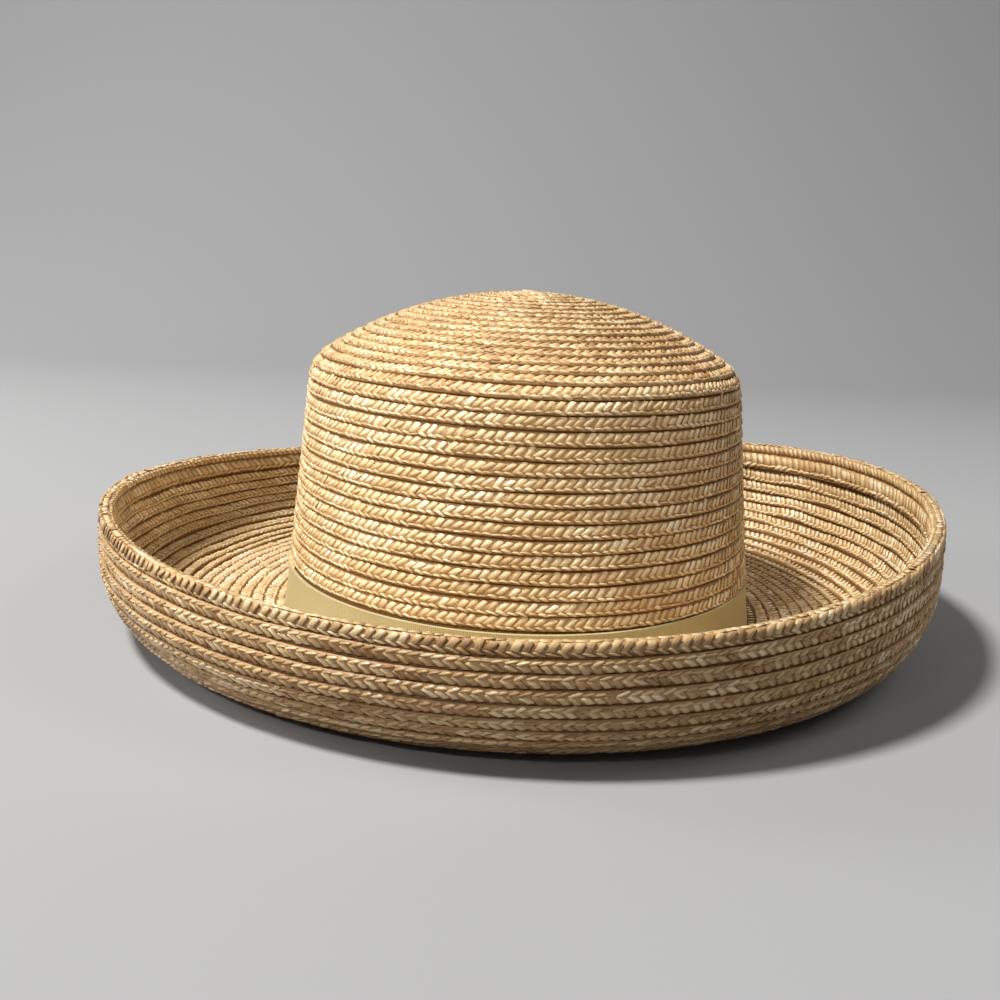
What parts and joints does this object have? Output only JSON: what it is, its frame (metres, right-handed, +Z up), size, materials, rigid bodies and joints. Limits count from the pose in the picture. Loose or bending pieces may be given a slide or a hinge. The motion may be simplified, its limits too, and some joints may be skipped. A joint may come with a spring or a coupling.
{
  "type": "upturned-brim straw hat",
  "caption": "Sewn straw-braid hat with a round domed crown, a brim rolled up all round and a plain ribbon round the foot of the crown.",
  "frame": {"origin": "on the floor under the middle of the crown, at the middle of the hat's outline", "axes": "+Z up through the crown, -Y towards the front of the hat, +X to the right of the picture, the long way of the head along Y"},
  "size_m": [0.3054, 0.3414, 0.1199],
  "materials": {
    "straw": "natural straw braid, satin with glossy strands",
    "ribbon": "olive-gold grosgrain ribbon, matt with fine ribs"
  },
  "bodies": {
    "root": {"crown_side": "straw", "crown_tip": "straw", "brim_floor": "straw", "brim_roll": "straw", "brim_wall": "straw", "rim_facing": "straw", "hat_band": "ribbon"}
  },
  "joints": []
}
